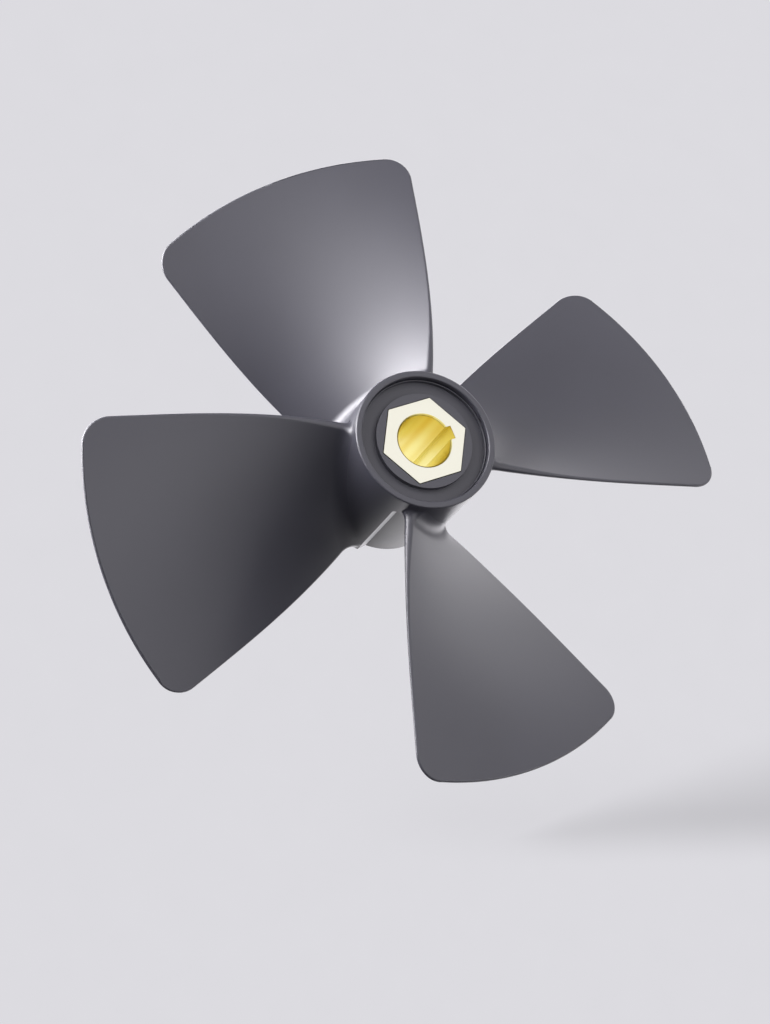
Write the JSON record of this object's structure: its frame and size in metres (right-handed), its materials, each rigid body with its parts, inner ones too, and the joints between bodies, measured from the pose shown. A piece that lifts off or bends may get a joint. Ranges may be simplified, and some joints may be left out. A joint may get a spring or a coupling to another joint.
{
  "type": "boat propeller",
  "caption": "Boat propeller: wide rounded blades moulded on a barrel with windows behind them, a drive hub insert, and a six-sided brass bush with a keyed shaft bore.",
  "frame": {"origin": "on the shaft axis, at the flat rear face that the part stands on", "axes": "+Z along the shaft axis, towards the recessed front with the bush's front face; +X through the keyway and the middle of one blade"},
  "size_m": [0.3118, 0.3118, 0.0682],
  "materials": {
    "moulded_grey": "satin moulded",
    "insert_grey": "matt moulded",
    "brass": "machined"
  },
  "bodies": {
    "root": {"bladed_barrel": "moulded_grey", "drive_insert": "insert_grey", "brass_bush": "brass"}
  },
  "joints": []
}
